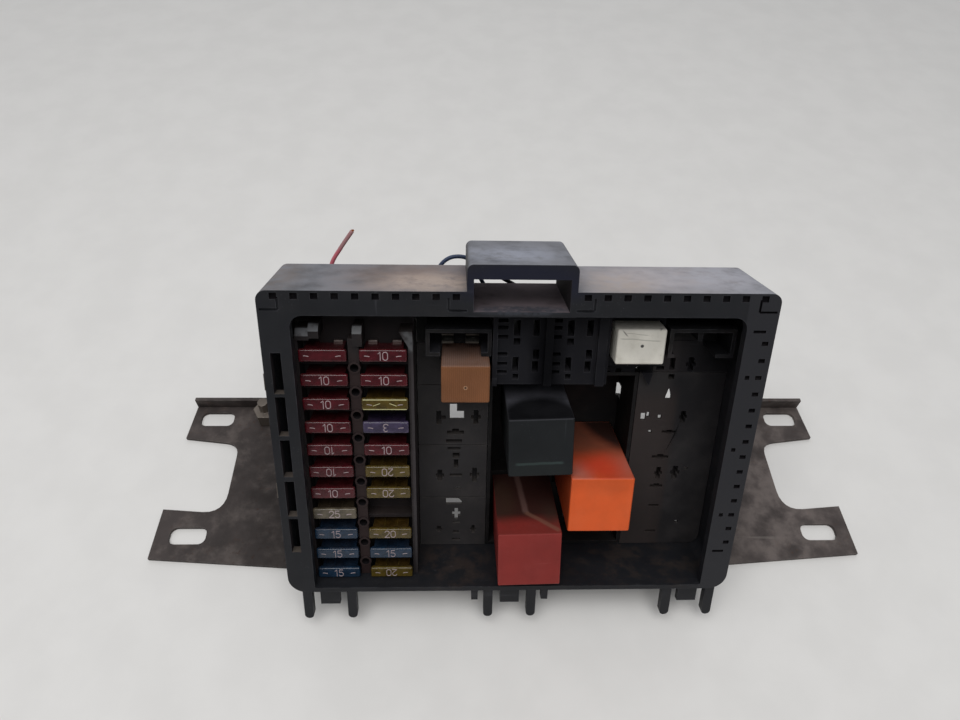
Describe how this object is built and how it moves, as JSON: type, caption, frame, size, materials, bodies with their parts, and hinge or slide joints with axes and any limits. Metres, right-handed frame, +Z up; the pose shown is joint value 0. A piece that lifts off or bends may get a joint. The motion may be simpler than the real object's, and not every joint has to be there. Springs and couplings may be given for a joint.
{
  "type": "fuse and relay box",
  "caption": "Open vehicle fuse and relay box leaning back on a slotted steel bracket, with blade fuses, plug-in relays and a latch hood.",
  "frame": {"origin": "middle of the footprint at the bracket's underside", "axes": "+X along the bracket's long way, +Y towards its rear lip, +Z up from its underside"},
  "size_m": [0.36, 0.1236, 0.1565],
  "materials": {
    "bracket_steel": "worn dark paint with light rust",
    "zinc": "dull zinc plating",
    "housing_plastic": "moulded, dusty, scuffed",
    "carrier_plastic": "moulded, dusty",
    "copper": "plain copper",
    "relay_base": "moulded",
    "wire_red": "insulation",
    "wire_blue": "insulation",
    "wire_black": "insulation",
    "fuse_red": "translucent, dusty",
    "fuse_clear": "translucent, dusty",
    "fuse_blue": "translucent, dusty",
    "fuse_yellow": "translucent, dusty",
    "fuse_violet": "translucent, dusty",
    "relay_black": "satin, dusty",
    "relay_orange": "satin, dusty",
    "relay_red": "satin, dusty",
    "relay_brown": "satin, dusty",
    "relay_white": "satin, dirty"
  },
  "bodies": {
    "box": {"bracket": "bracket_steel", "stud_left": "zinc", "stud_right": "zinc", "housing": "housing_plastic", "fuse_carrier": "carrier_plastic", "socket_left_1": "carrier_plastic", "socket_left_2": "carrier_plastic", "socket_left_3": "carrier_plastic", "socket_left_4": "carrier_plastic", "socket_centre": "carrier_plastic", "socket_right": "carrier_plastic", "socket_upper": "carrier_plastic", "connector_left": "carrier_plastic", "connector_right": "carrier_plastic", "bus_bar_a": "copper", "bus_bar_b": "copper", "screw_left_lower": "zinc", "screw_right_lower": "zinc", "screw_left_upper": "zinc", "screw_right_upper": "zinc", "wire_red": "wire_red", "wire_blue": "wire_blue", "wire_black": "wire_black"},
    "fuse_a01_body": {"fuse_a01": "fuse_red"},
    "fuse_a02_body": {"fuse_a02": "fuse_red"},
    "fuse_a03_body": {"fuse_a03": "fuse_red"},
    "fuse_a04_body": {"fuse_a04": "fuse_red"},
    "fuse_a05_body": {"fuse_a05": "fuse_red"},
    "fuse_a06_body": {"fuse_a06": "fuse_red"},
    "fuse_a07_body": {"fuse_a07": "fuse_red"},
    "fuse_a08_body": {"fuse_a08": "fuse_clear"},
    "fuse_a09_body": {"fuse_a09": "fuse_blue"},
    "fuse_a10_body": {"fuse_a10": "fuse_blue"},
    "fuse_a11_body": {"fuse_a11": "fuse_blue"},
    "fuse_b01_body": {"fuse_b01": "fuse_red"},
    "fuse_b02_body": {"fuse_b02": "fuse_red"},
    "fuse_b03_body": {"fuse_b03": "fuse_yellow"},
    "fuse_b04_body": {"fuse_b04": "fuse_violet"},
    "fuse_b05_body": {"fuse_b05": "fuse_red"},
    "fuse_b06_body": {"fuse_b06": "fuse_yellow"},
    "fuse_b07_body": {"fuse_b07": "fuse_yellow"},
    "fuse_b09_body": {"fuse_b09": "fuse_yellow"},
    "fuse_b10_body": {"fuse_b10": "fuse_blue"},
    "fuse_b11_body": {"fuse_b11": "fuse_yellow"},
    "relay_black": {"relay_black_case": "relay_black", "relay_black_base": "relay_base", "relay_black_coil": "copper"},
    "relay_orange": {"relay_orange_case": "relay_orange", "relay_orange_base": "relay_base", "relay_orange_coil": "copper"},
    "relay_red": {"relay_red_case": "relay_red", "relay_red_base": "relay_base", "relay_red_coil": "copper"},
    "relay_brown": {"relay_brown_case": "relay_brown", "relay_brown_base": "relay_base", "relay_brown_coil": "copper"},
    "relay_white": {"relay_white_case": "relay_white", "relay_white_base": "relay_base", "relay_white_coil": "copper"}
  },
  "joints": [
    {"name": "fuse_a01_pull", "type": "slide", "parent": "box", "child": "fuse_a01_body", "axis": [0, -0.8746, 0.4848], "range_m": [0, 0.03]},
    {"name": "fuse_a02_pull", "type": "slide", "parent": "box", "child": "fuse_a02_body", "axis": [0, -0.8746, 0.4848], "range_m": [0, 0.03]},
    {"name": "fuse_a03_pull", "type": "slide", "parent": "box", "child": "fuse_a03_body", "axis": [0, -0.8746, 0.4848], "range_m": [0, 0.03]},
    {"name": "fuse_a04_pull", "type": "slide", "parent": "box", "child": "fuse_a04_body", "axis": [0, -0.8746, 0.4848], "range_m": [0, 0.03]},
    {"name": "fuse_a05_pull", "type": "slide", "parent": "box", "child": "fuse_a05_body", "axis": [0, -0.8746, 0.4848], "range_m": [0, 0.03]},
    {"name": "fuse_a06_pull", "type": "slide", "parent": "box", "child": "fuse_a06_body", "axis": [0, -0.8746, 0.4848], "range_m": [0, 0.03]},
    {"name": "fuse_a07_pull", "type": "slide", "parent": "box", "child": "fuse_a07_body", "axis": [0, -0.8746, 0.4848], "range_m": [0, 0.03]},
    {"name": "fuse_a08_pull", "type": "slide", "parent": "box", "child": "fuse_a08_body", "axis": [0, -0.8746, 0.4848], "range_m": [0, 0.03]},
    {"name": "fuse_a09_pull", "type": "slide", "parent": "box", "child": "fuse_a09_body", "axis": [0, -0.8746, 0.4848], "range_m": [0, 0.03]},
    {"name": "fuse_a10_pull", "type": "slide", "parent": "box", "child": "fuse_a10_body", "axis": [0, -0.8746, 0.4848], "range_m": [0, 0.03]},
    {"name": "fuse_a11_pull", "type": "slide", "parent": "box", "child": "fuse_a11_body", "axis": [0, -0.8746, 0.4848], "range_m": [0, 0.03]},
    {"name": "fuse_b01_pull", "type": "slide", "parent": "box", "child": "fuse_b01_body", "axis": [0, -0.8746, 0.4848], "range_m": [0, 0.03]},
    {"name": "fuse_b02_pull", "type": "slide", "parent": "box", "child": "fuse_b02_body", "axis": [0, -0.8746, 0.4848], "range_m": [0, 0.03]},
    {"name": "fuse_b03_pull", "type": "slide", "parent": "box", "child": "fuse_b03_body", "axis": [0, -0.8746, 0.4848], "range_m": [0, 0.03]},
    {"name": "fuse_b04_pull", "type": "slide", "parent": "box", "child": "fuse_b04_body", "axis": [0, -0.8746, 0.4848], "range_m": [0, 0.03]},
    {"name": "fuse_b05_pull", "type": "slide", "parent": "box", "child": "fuse_b05_body", "axis": [0, -0.8746, 0.4848], "range_m": [0, 0.03]},
    {"name": "fuse_b06_pull", "type": "slide", "parent": "box", "child": "fuse_b06_body", "axis": [0, -0.8746, 0.4848], "range_m": [0, 0.03]},
    {"name": "fuse_b07_pull", "type": "slide", "parent": "box", "child": "fuse_b07_body", "axis": [0, -0.8746, 0.4848], "range_m": [0, 0.03]},
    {"name": "fuse_b09_pull", "type": "slide", "parent": "box", "child": "fuse_b09_body", "axis": [0, -0.8746, 0.4848], "range_m": [0, 0.03]},
    {"name": "fuse_b10_pull", "type": "slide", "parent": "box", "child": "fuse_b10_body", "axis": [0, -0.8746, 0.4848], "range_m": [0, 0.03]},
    {"name": "fuse_b11_pull", "type": "slide", "parent": "box", "child": "fuse_b11_body", "axis": [0, -0.8746, 0.4848], "range_m": [0, 0.03]},
    {"name": "relay_black_pull", "type": "slide", "parent": "box", "child": "relay_black", "axis": [0, -0.8746, 0.4848], "range_m": [0, 0.06]},
    {"name": "relay_orange_pull", "type": "slide", "parent": "box", "child": "relay_orange", "axis": [0, -0.8746, 0.4848], "range_m": [0, 0.06]},
    {"name": "relay_red_pull", "type": "slide", "parent": "box", "child": "relay_red", "axis": [0, -0.8746, 0.4848], "range_m": [0, 0.06]},
    {"name": "relay_brown_pull", "type": "slide", "parent": "box", "child": "relay_brown", "axis": [0, -0.8746, 0.4848], "range_m": [0, 0.045]},
    {"name": "relay_white_pull", "type": "slide", "parent": "box", "child": "relay_white", "axis": [0, -0.8746, 0.4848], "range_m": [0, 0.045]}
  ]
}
